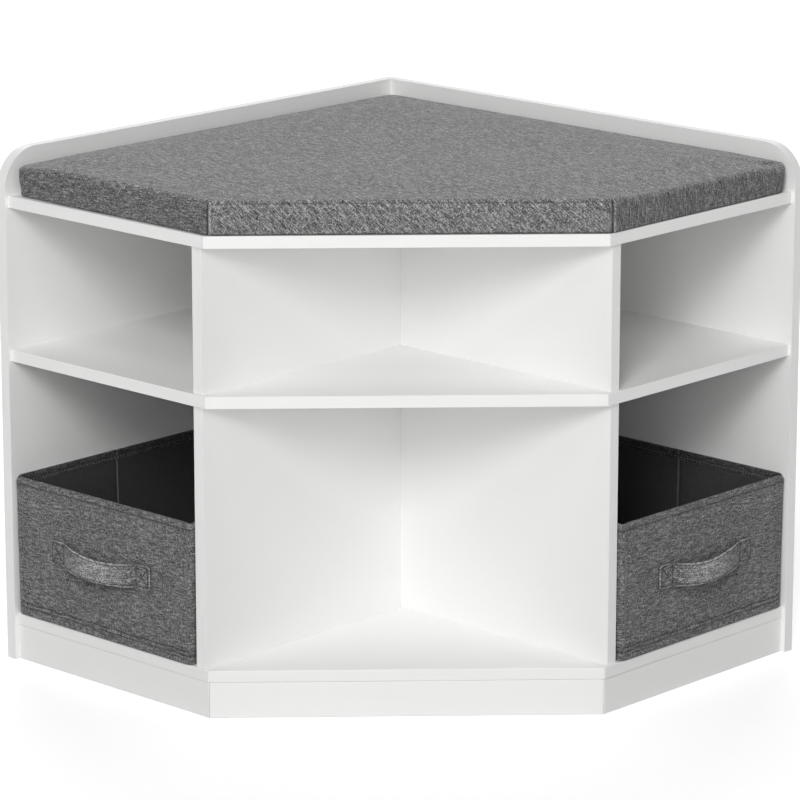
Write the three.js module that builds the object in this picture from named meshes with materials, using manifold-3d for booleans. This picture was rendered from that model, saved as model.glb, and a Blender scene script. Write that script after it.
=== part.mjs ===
// Corner storage bench, in millimetres with +Z up.
// Two wall panels meet at a right angle and carry three boards whose front corner is cut off.
// Dividers part two wings from a corner bay, and a cushion and two fabric baskets come out.
// Inside the bench group, x is the distance from the inner back corner along the left wall
// panel, y the distance along the right one, and z the height above the floor.

import * as THREE from "three";
import { mergeVertices } from "three/addons/utils/BufferGeometryUtils.js";
import Module from "manifold-3d";

const wasm = await Module();
wasm.setup();

// Boards and wall panels
const boardSide = 544; // from a wall panel to the front of the wing along it
const wingWidth = 274; // front edge of each wing
const boardThickness = 12;
const wallThickness = 12;
const wallOverhang = 4; // the wall panels end this far in front of the boards
const wallRise = 45; // above the seat board
const wallCornerRadius = 40;

// Bays and dividers
const lowerBayHeight = 260;
const upperBayHeight = 143;
const dividerThickness = 12;
const dividerInset = 7; // from the front corner of the boards to the divider's face
const dividerSetback = 3;

// Plinth
const plinthHeight = 36;
const plinthThickness = 12;
const plinthSetback = 1;
const mitreGap = 0.4; // the fine line between two plinth boards

// Fasteners
const screwLength = 45;
const screwRadius = 2;
const screwHeadRadius = 4;
const screwHeadDepth = 2.5;
const screwTipLength = 4;
const screwSocketRadius = 1.7; // six-sided, for a key
const screwSocketDepth = 1.8;
const wallScrewInset = 90; // from either end of a board
const dividerScrewInset = 55; // from either end of a divider
const dowelRadius = 3;
const dowelDepth = 14; // into a divider or a plinth board
const blindDowelDepth = 8; // into the face of a board
const dowelInset = 32; // from the end of the piece that a dowel joins
const fastenerClearance = 0.3;
const cutOverrun = 1;

// Cushion
const cushionBand = 28.5; // height of the sewn side band
const cushionCrown = 4.5; // rise of the top above the band
const cushionFrontInset = 4;
const cushionWallGap = 3;
const cushionCornerRadius = 16;
const cushionEdgeRadius = 3;
const cushionDrawIn = 2; // each side is pulled in this far between its corners
const cushionSeamDepth = 0.8;

// Baskets
const basketHeight = 137;
const basketWall = 3;
const basketSetback = 6; // behind the front of the boards
const basketSideClearance = 4.5; // to the wall panel and to the divider
const basketBackClearance = 2; // to the line of the corner bay's sides
const hemHeight = 9;
const hemThickness = 0.8;
const insertThickness = 2;
const insertClearance = 1;

// Strap handles
const strapLength = 142;
const strapWidth = 25;
const strapThickness = 2;
const strapPatch = 20; // the sewn length at each end
const strapBow = 12; // from the basket's face to the inside of the strap at its middle
const strapDrop = 61; // from the basket's rim to the middle of the strap

const seatGap = 0.3; // between a loose or sewn-on piece and what carries it

// Numbers of steps around round and curved shapes
const roundSteps = 16;
const outlineSteps = 6;
const strapSteps = 16;
const socketSides = 6;

// Shares of the way from the cushion's centre to its edge, outermost first
const crownRingShares = [0.94, 0.82, 0.64, 0.42, 0.18];
const cornerScrewHeightShares = { lower: 0.3, middle: 0.5, upper: 0.8 };

// Levels, and the faces of the dividers
const baseTop = plinthHeight + boardThickness;
const shelfBottom = baseTop + lowerBayHeight;
const shelfTop = shelfBottom + boardThickness;
const seatBottom = shelfTop + upperBayHeight;
const seatTop = seatBottom + boardThickness;
const benchHeight = seatTop + wallRise;
const panelFront = boardSide + wallOverhang;
const dividerFace = wingWidth - dividerInset;
const dividerBack = dividerFace - dividerThickness;
const dividerMiddle = (dividerFace + dividerBack) / 2;
const dividerFront = boardSide - dividerSetback;
const plinthFront = boardSide - plinthSetback;
const plinthBack = plinthFront - plinthThickness;
const frontMitre = Math.tan(Math.PI / 8); // half of the 45 degree turn at each front corner
const basketWidth = dividerBack - 2 * basketSideClearance;
const basketDepth = boardSide - basketSetback - (wingWidth + basketBackClearance);
const strapHeight = basketHeight - strapDrop;

const finishes = {
  lacquer: { color: 0xefeeeb, roughness: 0.45, metalness: 0 },
  greyWeave: { color: 0x707277, roughness: 0.95, metalness: 0 },
  blackLining: { color: 0x1c1c1e, roughness: 0.9, metalness: 0 },
  zincSteel: { color: 0xb8babd, roughness: 0.4, metalness: 0.9 },
  beech: { color: 0xc9a878, roughness: 0.7, metalness: 0 },
};

// A named mesh with a material of its own.
function piece(name, geometry, finish) {
  const mesh = new THREE.Mesh(geometry, new THREE.MeshStandardMaterial(finishes[finish]));
  mesh.name = name;
  return mesh;
}

// A place given along and across one wall panel: the right side is the left one mirrored.
function at(side, along, across, up) {
  return side === "left"
    ? new THREE.Vector3(along, across, up)
    : new THREE.Vector3(across, along, up);
}

// A box whose faces lie exactly on the planes of its two corners.
function block(low, high) {
  const geometry = new THREE.BoxGeometry(1, 1, 1);
  const points = geometry.attributes.position;
  for (let i = 0; i < points.count; i += 1) {
    const x = points.getX(i) < 0 ? low.x : high.x;
    const y = points.getY(i) < 0 ? low.y : high.y;
    const z = points.getZ(i) < 0 ? low.z : high.z;
    points.setXYZ(i, x, y, z);
  }
  return geometry;
}

// A flat outline in x and y, made into a plate between two levels.
function plate(outline, bottom, top) {
  const shape = new THREE.Shape(outline.map(([x, y]) => new THREE.Vector2(x, y)));
  const geometry = new THREE.ExtrudeGeometry(shape, { depth: 1, bevelEnabled: false });
  const points = geometry.attributes.position;
  for (let i = 0; i < points.count; i += 1) {
    points.setZ(i, points.getZ(i) > 0 ? top : bottom);
  }
  return geometry;
}

function solidOf(geometry) {
  const bare = geometry.clone();
  bare.deleteAttribute("normal");
  bare.deleteAttribute("uv");
  const merged = mergeVertices(bare);
  const vertProperties = merged.attributes.position.array;
  const triVerts = new Uint32Array(merged.index.array);
  return new wasm.Manifold(new wasm.Mesh({ numProp: 3, vertProperties, triVerts }));
}

function geometryOf(solid) {
  const mesh = solid.getMesh();
  const geometry = new THREE.BufferGeometry();
  geometry.setAttribute("position", new THREE.BufferAttribute(mesh.vertProperties, 3));
  geometry.setIndex(new THREE.BufferAttribute(mesh.triVerts, 1));
  const flat = geometry.toNonIndexed();
  flat.computeVertexNormals();
  return flat;
}

function drilled(geometry, fasteners) {
  let solid = solidOf(geometry);
  for (const fastener of fasteners) {
    solid = solid.subtract(solidOf(fastener.hole));
  }
  return geometryOf(solid);
}

// Turns a shape that was made along +Y to point from one place in a given direction.
function aimed(geometry, from, direction) {
  const turn = new THREE.Quaternion().setFromUnitVectors(new THREE.Vector3(0, 1, 0), direction);
  return geometry.applyQuaternion(turn).translate(from.x, from.y, from.z);
}

// A countersunk screw, or with a clearance the hole that it needs. The head's face is at y = 0.
function screwShape(clearance, overrun) {
  const wayIn = overrun > 0 ? [[screwHeadRadius + clearance, -overrun]] : [];
  const points = [
    [0, -overrun],
    ...wayIn,
    [screwHeadRadius + clearance, 0],
    [screwRadius + clearance, screwHeadDepth + clearance],
    [screwRadius + clearance, screwLength - screwTipLength + clearance],
    [0, screwLength + clearance],
  ].map(([radius, along]) => new THREE.Vector2(radius, along));
  return new THREE.LatheGeometry(points, roundSteps);
}

function socketedScrew() {
  const socket = new THREE.CylinderGeometry(
    screwSocketRadius,
    screwSocketRadius,
    screwSocketDepth + cutOverrun,
    socketSides,
  );
  socket.translate(0, (screwSocketDepth - cutOverrun) / 2, 0);
  return geometryOf(solidOf(screwShape(0, 0)).subtract(solidOf(socket)));
}

function screw(name, head, direction) {
  return {
    mesh: piece(name, aimed(socketedScrew(), head, direction), "zincSteel"),
    hole: aimed(screwShape(fastenerClearance, cutOverrun), head, direction),
  };
}

// A dowel that stands upright between two levels.
function dowel(name, place, bottom, top) {
  const middle = new THREE.Vector3(place.x, place.y, (bottom + top) / 2);
  const upward = new THREE.Vector3(0, 0, 1);
  const shape = (clearance) =>
    new THREE.CylinderGeometry(
      dowelRadius + clearance,
      dowelRadius + clearance,
      top - bottom + 2 * clearance,
      roundSteps,
    );
  return {
    mesh: piece(name, aimed(shape(0), middle, upward), "beech"),
    hole: aimed(shape(fastenerClearance), middle, upward),
  };
}

// Screws through a wall panel into the edge of a board, one near each end of the board.
function wallScrews(side, level, boardMiddle) {
  const inward = at(side, 0, 1, 0);
  const places = { back: wallScrewInset, front: boardSide - wallScrewInset };
  return Object.entries(places).map(([end, along]) =>
    screw(`${level}_wall_screw_${side}_${end}`, at(side, along, -wallThickness, boardMiddle), inward),
  );
}

// Screws through the left wall panel into the end of the right one.
function cornerScrews() {
  const inward = at("left", 0, 1, 0);
  return Object.entries(cornerScrewHeightShares).map(([name, share]) =>
    screw(
      `corner_screw_${name}`,
      new THREE.Vector3(-wallThickness / 2, -wallThickness, benchHeight * share),
      inward,
    ),
  );
}

const dividerPlaces = {
  back: dividerFace + dividerScrewInset,
  front: dividerFront - dividerScrewInset,
};

// Screws through a board into the edge of each divider of one side.
function dividerScrews(name, side, level, upward) {
  const direction = new THREE.Vector3(0, 0, upward ? 1 : -1);
  return Object.entries(dividerPlaces).map(([end, along]) =>
    screw(`${name}_screw_${side}_${end}`, at(side, along, dividerMiddle, level), direction),
  );
}

// Dowels that run through the middle shelf into the dividers above and below it.
function shelfDowels(side) {
  return Object.entries(dividerPlaces).map(([end, along]) =>
    dowel(
      `shelf_dowel_${side}_${end}`,
      at(side, along, dividerMiddle, 0),
      shelfBottom - dowelDepth,
      shelfTop + dowelDepth,
    ),
  );
}

function plinthDowel(name, place) {
  return dowel(name, place, plinthHeight - dowelDepth, plinthHeight + blindDowelDepth);
}

// Where the front mitre lies on a line that runs a given distance behind the board's edges.
function mitreAt(setback) {
  return wingWidth - setback * frontMitre;
}

const plinthMiddle = (plinthFront + plinthBack) / 2;
const plinthMitreMiddle = mitreAt(boardSide - plinthMiddle);
const sides = ["left", "right"];

const wingPlinthDowels = Object.fromEntries(
  sides.map((side) => [
    side,
    [
      plinthDowel(`plinth_dowel_${side}_wall`, at(side, plinthMiddle, dowelInset, 0)),
      plinthDowel(
        `plinth_dowel_${side}_corner`,
        at(side, plinthMiddle, dividerBack - dowelInset, 0),
      ),
    ],
  ]),
);

const centrePlinthDowels = sides.map((side) => {
  const along = dowelInset * Math.SQRT1_2;
  return plinthDowel(
    `plinth_dowel_centre_${side}`,
    at(side, plinthMiddle - along, plinthMitreMiddle + along, 0),
  );
});

const returnDowels = Object.fromEntries(
  sides.map((side) => [
    side,
    plinthDowel(`return_dowel_${side}`, at(side, (dividerFace + plinthBack) / 2, dividerMiddle, 0)),
  ]),
);

const fasteners = {
  base: sides.flatMap((side) => wallScrews(side, "base", plinthHeight + boardThickness / 2)),
  shelf: sides.flatMap((side) => wallScrews(side, "shelf", shelfBottom + boardThickness / 2)),
  seat: sides.flatMap((side) => wallScrews(side, "seat", seatBottom + boardThickness / 2)),
  corner: cornerScrews(),
};

const dividerFasteners = Object.fromEntries(
  sides.map((side) => [
    side,
    {
      seat: dividerScrews("seat", side, seatTop, false),
      shelf: shelfDowels(side),
      base: dividerScrews("base", side, plinthHeight, true),
    },
  ]),
);

// The outline that the seat board, the shelf and the base board share.
const boardOutline = [
  [0, 0],
  [boardSide, 0],
  [boardSide, wingWidth],
  [wingWidth, boardSide],
  [0, boardSide],
];

function board(name, bottom, top, holes) {
  return piece(name, drilled(plate(boardOutline, bottom, top), holes), "lacquer");
}

function boards() {
  const both = (level) => sides.flatMap((side) => dividerFasteners[side][level]);
  const plinthDowels = [
    ...sides.flatMap((side) => wingPlinthDowels[side]),
    ...sides.map((side) => returnDowels[side]),
    ...centrePlinthDowels,
  ];
  return [
    board("base_board", plinthHeight, baseTop, [
      ...fasteners.base,
      ...both("base"),
      ...plinthDowels,
    ]),
    board("middle_shelf", shelfBottom, shelfTop, [...fasteners.shelf, ...both("shelf")]),
    board("seat_board", seatBottom, seatTop, [...fasteners.seat, ...both("seat")]),
  ];
}

// A wall panel with its upper front corner rounded. It is drawn as along and up, then stood up
// so that its inner face lies on the plane where the boards begin.
function wallPanel(side) {
  const back = side === "left" ? -wallThickness : 0;
  const outline = new THREE.Path();
  outline.moveTo(back, 0);
  outline.lineTo(panelFront, 0);
  outline.lineTo(panelFront, benchHeight - wallCornerRadius);
  outline.absarc(
    panelFront - wallCornerRadius,
    benchHeight - wallCornerRadius,
    wallCornerRadius,
    0,
    Math.PI / 2,
  );
  outline.lineTo(back, benchHeight);
  const drawn = outline.getPoints(roundSteps).map((point) => [point.x, point.y]);
  const geometry = plate(drawn, -wallThickness, 0);
  const points = geometry.attributes.position;
  for (let i = 0; i < points.count; i += 1) {
    const place = at(side, points.getX(i), points.getZ(i), points.getY(i));
    points.setXYZ(i, place.x, place.y, place.z);
  }
  if (side === "left") {
    turnFacesOver(geometry);
  }
  const through = [...fasteners.base, ...fasteners.shelf, ...fasteners.seat].filter((fastener) =>
    fastener.mesh.name.includes(`_${side}_`),
  );
  return piece(
    `wall_panel_${side}`,
    drilled(geometry, [...through, ...fasteners.corner]),
    "lacquer",
  );
}

// Swaps two corners of every triangle of a geometry without an index.
function turnFacesOver(geometry) {
  const points = geometry.attributes.position;
  for (let i = 0; i < points.count; i += 3) {
    const second = new THREE.Vector3().fromBufferAttribute(points, i + 1);
    const third = new THREE.Vector3().fromBufferAttribute(points, i + 2);
    points.setXYZ(i + 1, third.x, third.y, third.z);
    points.setXYZ(i + 2, second.x, second.y, second.z);
  }
}

// The left divider laps the end of the right one, so it starts one thickness further back.
function dividerStart(side) {
  return side === "left" ? dividerBack : dividerFace;
}

function divider(side, name, bottom, top, holes) {
  const low = at(side, dividerStart(side), dividerBack, bottom);
  const high = at(side, dividerFront, dividerFace, top);
  return piece(`${name}_divider_${side}`, drilled(block(low, high), holes), "lacquer");
}

function dividers(side) {
  const { seat, shelf, base } = dividerFasteners[side];
  return [
    divider(side, "upper", shelfTop, seatBottom, [...seat, ...shelf]),
    divider(side, "lower", baseTop, shelfBottom, [...shelf, ...base]),
  ];
}

// The plinth board under a wing's front, with a mitred end at the bench's front corner.
function wingPlinth(side) {
  const halfGap = mitreGap / 2;
  const outline = [
    [plinthFront, 0],
    [plinthFront, mitreAt(boardSide - plinthFront) - halfGap],
    [plinthBack, mitreAt(boardSide - plinthBack) - halfGap],
    [plinthBack, 0],
  ].map(([along, across]) => {
    const place = at(side, along, across, 0);
    return [place.x, place.y];
  });
  return piece(
    `plinth_${side}`,
    drilled(plate(outline, 0, plinthHeight), wingPlinthDowels[side]),
    "lacquer",
  );
}

function centrePlinth() {
  const slide = (mitreGap / 2) * Math.SQRT1_2;
  const front = mitreAt(boardSide - plinthFront) + slide;
  const back = mitreAt(boardSide - plinthBack) + slide;
  const outline = [
    [plinthFront - slide, front],
    [front, plinthFront - slide],
    [back, plinthBack - slide],
    [plinthBack - slide, back],
  ];
  return piece(
    "plinth_centre",
    drilled(plate(outline, 0, plinthHeight), centrePlinthDowels),
    "lacquer",
  );
}

// A bearer under the base board, below the dividers of one side.
function plinthReturn(side) {
  const low = at(side, dividerStart(side), dividerBack, 0);
  const high = at(side, plinthBack, dividerFace, plinthHeight);
  return piece(`plinth_return_${side}`, drilled(block(low, high), [returnDowels[side]]), "lacquer");
}

// The cushion's outline: rounded corners, and sides that are pulled in between them.
function cushionOutline() {
  const front = boardSide - cushionFrontInset;
  const turn = mitreAt(cushionFrontInset);
  const corners = [
    [cushionWallGap, cushionWallGap],
    [front, cushionWallGap],
    [front, turn],
    [turn, front],
    [cushionWallGap, front],
  ].map(([x, y]) => new THREE.Vector2(x, y));
  const path = new THREE.Path();
  corners.forEach((corner, i) => {
    const before = corners[(i + corners.length - 1) % corners.length];
    const after = corners[(i + 1) % corners.length];
    const arrive = towards(corner, before, cushionCornerRadius);
    const leave = towards(corner, after, cushionCornerRadius);
    const next = towards(after, corner, cushionCornerRadius);
    const middle = leave.clone().add(next).multiplyScalar(0.5);
    const along = after.clone().sub(corner).normalize();
    const pull = new THREE.Vector2(-along.y, along.x).multiplyScalar(2 * cushionDrawIn);
    if (i === 0) {
      path.moveTo(arrive.x, arrive.y);
    }
    path.quadraticCurveTo(corner.x, corner.y, leave.x, leave.y);
    path.quadraticCurveTo(middle.x + pull.x, middle.y + pull.y, next.x, next.y);
  });
  return path.getPoints(outlineSteps).slice(0, -1);
}

function towards(from, to, distance) {
  return to.clone().sub(from).setLength(distance).add(from);
}

// The cushion's rings from the seat up: a flat base, the side band, its seam and the crown.
function cushionRings(outline, centre) {
  const ring = (share, inset, up) =>
    outline.map((point) => {
      const offset = point.clone().sub(centre);
      const length = offset.length() * share - inset;
      return new THREE.Vector3(...offset.setLength(length).add(centre), up);
    });
  const rise = (share) => cushionBand + cushionCrown * (1 - share * share);
  return [
    ring(1, cushionEdgeRadius, 0),
    ring(1, 0, cushionEdgeRadius),
    ring(1, 0, cushionBand / 2),
    ring(1, 0, cushionBand - cushionEdgeRadius),
    ring(1, cushionSeamDepth, cushionBand - cushionEdgeRadius / 2),
    ring(1, cushionEdgeRadius / 2, cushionBand),
    ...crownRingShares.map((share) => ring(share, 0, rise(share))),
  ];
}

// A closed skin over a stack of rings with the same number of points, lowest ring first.
function skinOver(rings, bottomCentre, topCentre) {
  const count = rings[0].length;
  const points = [...rings.flat(), bottomCentre, topCentre];
  const bottom = points.length - 2;
  const top = points.length - 1;
  const last = (rings.length - 1) * count;
  const index = [];
  for (let i = 0; i < count; i += 1) {
    const next = (i + 1) % count;
    for (let start = 0; start < last; start += count) {
      const above = start + count;
      index.push(start + i, start + next, above + next);
      index.push(start + i, above + next, above + i);
    }
    index.push(bottom, next, i);
    index.push(top, last + i, last + next);
  }
  const geometry = new THREE.BufferGeometry().setFromPoints(points);
  geometry.setIndex(index);
  geometry.computeVertexNormals();
  return geometry;
}

function cushion() {
  const outline = cushionOutline();
  const centre = outline
    .reduce((sum, point) => sum.add(point), new THREE.Vector2())
    .divideScalar(outline.length);
  const geometry = skinOver(
    cushionRings(outline, centre),
    new THREE.Vector3(centre.x, centre.y, 0),
    new THREE.Vector3(centre.x, centre.y, cushionBand + cushionCrown),
  );
  const mesh = piece("seat_cushion", geometry, "greyWeave");
  mesh.position.z = seatTop + seatGap;
  return mesh;
}

// A basket in its own frame: x points out of the bay from the basket's front face, y runs
// across from its middle, and z up from its underside.
function basketShell() {
  const half = basketWidth / 2;
  const box = (grow, bottom, top) =>
    solidOf(
      block(
        new THREE.Vector3(-basketDepth - grow, -half - grow, bottom),
        new THREE.Vector3(grow, half + grow, top),
      ),
    );
  return geometryOf(
    box(0, 0, basketHeight)
      .add(box(hemThickness, basketHeight - hemHeight, basketHeight))
      .subtract(box(-basketWall, basketWall, basketHeight + cutOverrun)),
  );
}

function basketInsert() {
  const inset = basketWall + insertClearance;
  const bottom = basketWall + seatGap;
  return block(
    new THREE.Vector3(inset - basketDepth, inset - basketWidth / 2, bottom),
    new THREE.Vector3(-inset, basketWidth / 2 - inset, bottom + insertThickness),
  );
}

// The strap lies flat at its sewn ends and bows out between them, as half a wave.
function strapHandle() {
  const free = strapLength / 2 - strapPatch;
  const rise = (share) => ((strapBow - seatGap) * (1 + Math.cos(Math.PI * share))) / 2;
  const steps = Array.from({ length: strapSteps + 1 }, (_, i) => (2 * i) / strapSteps - 1);
  const line = (inner) => [
    [inner, -strapLength / 2],
    ...steps.map((share) => [inner + rise(share), share * free]),
    [inner, strapLength / 2],
  ];
  const outline = [...line(seatGap + strapThickness), ...line(seatGap).reverse()];
  return plate(outline, strapHeight - strapWidth / 2, strapHeight + strapWidth / 2);
}

function basket(side) {
  const group = new THREE.Group();
  group.add(
    piece(`basket_${side}_shell`, basketShell(), "greyWeave"),
    piece(`basket_${side}_floor_insert`, basketInsert(), "blackLining"),
    piece(`basket_${side}_strap_handle`, strapHandle(), "greyWeave"),
  );
  group.position.copy(at(side, boardSide - basketSetback, dividerBack / 2, baseTop + seatGap));
  group.rotation.z = side === "left" ? 0 : Math.PI / 2;
  return group;
}

function carcass() {
  const group = new THREE.Group();
  group.add(...sides.map(wallPanel), ...boards(), ...sides.flatMap(dividers));
  group.add(...sides.map(wingPlinth), centrePlinth(), ...sides.map(plinthReturn));
  return group;
}

function fastenerGroup() {
  const group = new THREE.Group();
  const all = [
    ...Object.values(fasteners).flat(),
    ...sides.flatMap((side) => Object.values(dividerFasteners[side]).flat()),
    ...sides.flatMap((side) => wingPlinthDowels[side]),
    ...centrePlinthDowels,
    ...Object.values(returnDowels),
  ];
  group.add(...all.map((fastener) => fastener.mesh));
  return group;
}

// The whole bench, turned so that its back corner points to +X +Y, with the origin at the
// bottom centre of its box.
const bench = new THREE.Group();
bench.add(carcass(), fastenerGroup(), cushion(), ...sides.map(basket));
bench.rotation.z = Math.PI;
const middle = new THREE.Box3().setFromObject(bench, true).getCenter(new THREE.Vector3());
bench.position.set(-middle.x, -middle.y, 0);

export default bench;
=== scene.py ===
# Corner storage bench: white lacquered boards, a grey cloth cushion and two cloth baskets.
# Everything is in metres, +Z up. The back corner points to +X +Y, so the bench opens to -X -Y.
# "left" and "right" are the sides as the camera sees them.

import math

import bpy
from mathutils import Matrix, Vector, noise
from mathutils.geometry import intersect_point_line
from mathutils.kdtree import KDTree


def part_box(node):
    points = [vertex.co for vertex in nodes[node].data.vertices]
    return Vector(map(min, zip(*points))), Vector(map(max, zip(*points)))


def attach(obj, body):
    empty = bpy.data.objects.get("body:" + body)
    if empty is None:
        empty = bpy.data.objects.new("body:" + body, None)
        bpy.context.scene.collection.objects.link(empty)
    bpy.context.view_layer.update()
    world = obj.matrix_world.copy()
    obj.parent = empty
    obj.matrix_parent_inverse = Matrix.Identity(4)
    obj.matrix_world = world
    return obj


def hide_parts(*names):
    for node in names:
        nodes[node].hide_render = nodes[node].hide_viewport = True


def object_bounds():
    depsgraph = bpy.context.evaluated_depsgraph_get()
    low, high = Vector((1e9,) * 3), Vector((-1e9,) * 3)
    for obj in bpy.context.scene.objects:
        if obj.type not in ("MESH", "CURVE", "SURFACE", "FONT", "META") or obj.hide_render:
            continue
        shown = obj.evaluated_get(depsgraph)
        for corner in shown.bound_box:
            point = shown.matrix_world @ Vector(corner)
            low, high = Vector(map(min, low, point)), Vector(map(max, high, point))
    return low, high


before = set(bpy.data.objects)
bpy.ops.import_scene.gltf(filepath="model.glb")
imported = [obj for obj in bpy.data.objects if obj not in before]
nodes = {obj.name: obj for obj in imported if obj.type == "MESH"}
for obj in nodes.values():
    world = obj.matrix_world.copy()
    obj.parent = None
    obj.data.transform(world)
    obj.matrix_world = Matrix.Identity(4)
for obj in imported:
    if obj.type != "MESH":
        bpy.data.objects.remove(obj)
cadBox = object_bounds()
mm = 0.001
sides = ("left", "right")
upward = Vector((0, 0, 1))

# The photograph's view: a long lens from a little above the seat, square to the cut-off front.
cameraView = {
    "place": (-2.9743, -2.8059, 1.3201),
    "towards": (0.70417, 0.66461, -0.24987),
    "lens": 191.2,
    "sensor": 36,
    "seesTo": 60,
}


def addCamera():
    data = bpy.data.cameras.new("camera")
    data.sensor_width = cameraView["sensor"]
    data.lens = cameraView["lens"]
    data.clip_end = cameraView["seesTo"]
    camera = bpy.data.objects.new("camera", data)
    camera.location = cameraView["place"]
    camera.rotation_euler = Vector(cameraView["towards"]).to_track_quat("-Z", "Y").to_euler()
    bpy.context.scene.collection.objects.link(camera)
    bpy.context.scene.camera = camera


addCamera()
print("camera in place")


# Materials

def hexColour(code):
    # sRGB hex to the linear colour that a shader wants
    parts = [int(code[i:i + 2], 16) / 255 for i in (1, 3, 5)]
    return tuple(c / 12.92 if c <= 0.04045 else ((c + 0.055) / 1.055) ** 2.4 for c in parts) + (1,)


def addNode(tree, kind, settings=None, sockets=None):
    # settings are the node's own properties; a socket takes a number, a colour or another output
    node = tree.nodes.new("ShaderNode" + kind)
    for name, value in (settings or {}).items():
        setattr(node, name, value)
    for name, value in (sockets or {}).items():
        if isinstance(value, bpy.types.NodeSocket):
            tree.links.new(value, node.inputs[name])
        else:
            node.inputs[name].default_value = value
    return node.outputs


def newMaterial(name):
    material = bpy.data.materials.new(name)
    material.use_nodes = True
    tree = material.node_tree
    tree.nodes.clear()
    return material, tree


def finishMaterial(tree, sockets, bump=None):
    # bump is (height output, distance in metres, strength)
    if bump:
        height, distance, strength = bump
        raised = addNode(tree, "Bump", sockets={
            "Height": height, "Distance": distance, "Strength": strength})
        sockets["Normal"] = raised["Normal"]
    shader = addNode(tree, "BsdfPrincipled", sockets=sockets)
    addNode(tree, "OutputMaterial", sockets={"Surface": shader["BSDF"]})


# sockets of the Mix node when it mixes colours
mixColours = {"data_type": "RGBA"}
mixShare, mixFirst, mixSecond, mixed = 0, 6, 7, 2


def toneShifted(tree, colour):
    # the colour with the painted light and shade that a piece's points carry, lighter or darker by that
    # share
    shift = addNode(tree, "Attribute", {"attribute_name": "paintedLight"})["Fac"]
    level = addNode(tree, "Math", {"operation": "ADD"}, {0: shift, 1: 1.0})["Value"]
    return addNode(tree, "HueSaturation", sockets={"Color": colour, "Value": level})["Color"]


def perMillimetre(size):
    # noise scale for lumps of a size in millimetres, in object coordinates in metres
    return 1 / (size * mm)


lacquer = {
    "white": "#F5F5F4",
    "whiteInShade": "#F2F2F1",  # slow drift in the sprayed coat
    "driftSize": 180,
    "peelSize": 2.4,  # orange peel of a sprayed coat is 1 to 3 mm across
    "peelHeight": 0.02 * mm,
    "roughness": (0.36, 0.46),
}


def lacqueredBoard():
    # Satin white lacquer sprayed on fibreboard: even, softly shining, with a faint orange peel.
    material, tree = newMaterial("lacqueredBoard")
    place = addNode(tree, "TexCoord")["Object"]
    drift = addNode(tree, "TexNoise", sockets={
        "Vector": place, "Scale": perMillimetre(lacquer["driftSize"]), "Detail": 2})["Fac"]
    peel = addNode(tree, "TexNoise", sockets={
        "Vector": place, "Scale": perMillimetre(lacquer["peelSize"]), "Detail": 1})["Fac"]
    colour = addNode(tree, "Mix", mixColours, {
        mixShare: drift,
        mixFirst: hexColour(lacquer["white"]),
        mixSecond: hexColour(lacquer["whiteInShade"])})[mixed]
    low, high = lacquer["roughness"]
    roughness = addNode(tree, "MapRange", sockets={
        "Value": drift, "To Min": low, "To Max": high})["Result"]
    finishMaterial(tree, {"Base Color": colour, "Roughness": roughness, "IOR": 1.5},
                   (peel, lacquer["peelHeight"], 0.6))
    return material


cloth = {
    # dark, middle and light yarns, each with its place in the noise
    "yarns": ((0.34, "#444547"), (0.5, "#7C7D7E"), (0.66, "#CDCDCC")),
    "yarnsApart": 3.7,  # in the noise from one yarn to the next, so that their tones differ
    "threadSpacing": 0.8,  # the real one is about 0.7; drawn coarser so that it shows
    "gapPaintedShade": 0.62,  # painted shade in the gaps between threads
    "warpSlub": 11,  # length of a yarn's light and dark stretches
    "weftSlub": 4,
    "warpOnTop": 0.68,  # share of the crossings; the dyed yarns hide the plain weave's order
    "specks": 0.1,  # how much a crossing differs from its yarn
    "wander": 0.06,  # how far a thread strays from its line, in threads
    "wanderSize": 7,
    "threadHeight": 0.3 * mm,
    "basketPaintedShade": 0.69,  # painted shade: the baskets' copy of the same cloth is painted darker
    "sheen": 0.26,
}


def yarnShade(tree, across, along, start):
    # a tone that changes from yarn to yarn and slowly along each one
    spot = addNode(tree, "CombineXYZ", sockets={"X": across, "Y": along, "Z": start})["Vector"]
    return addNode(tree, "TexNoise", sockets={
        "Vector": spot, "Scale": 1, "Detail": 2, "Roughness": 0.7})["Fac"]


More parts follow.
